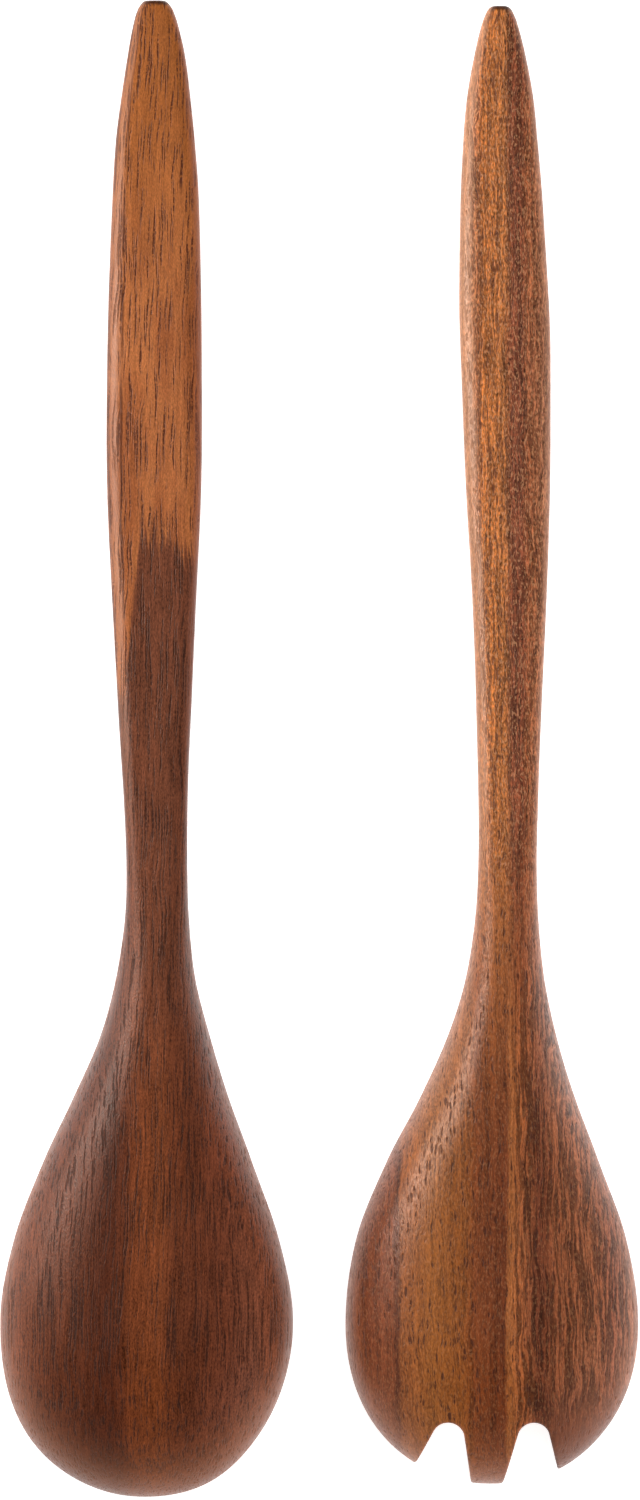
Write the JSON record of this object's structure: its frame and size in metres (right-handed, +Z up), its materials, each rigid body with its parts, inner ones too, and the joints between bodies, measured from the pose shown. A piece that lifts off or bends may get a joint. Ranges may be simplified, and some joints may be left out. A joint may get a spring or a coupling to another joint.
{
  "type": "wooden salad servers",
  "caption": "Carved wooden salad servers, a deep-bowled spoon and a slotted fork with long tapered handles, lying face down side by side.",
  "frame": {"origin": "on the table, under the middle of the pair's box", "axes": "+Z up from the table, +Y from the bowls towards the handles, +X from the spoon towards the fork; both servers lie face down"},
  "size_m": [0.1302, 0.3051, 0.021],
  "materials": {
    "spoon_wood": "satin",
    "fork_wood": "satin"
  },
  "bodies": {
    "spoon": {"serving_spoon": "spoon_wood"},
    "fork": {"serving_fork": "fork_wood"}
  },
  "joints": [
    {"name": "fork_lift", "type": "slide", "parent": "spoon", "child": "fork", "axis": [0, 0, 1], "range_m": [0, 0.08]}
  ]
}
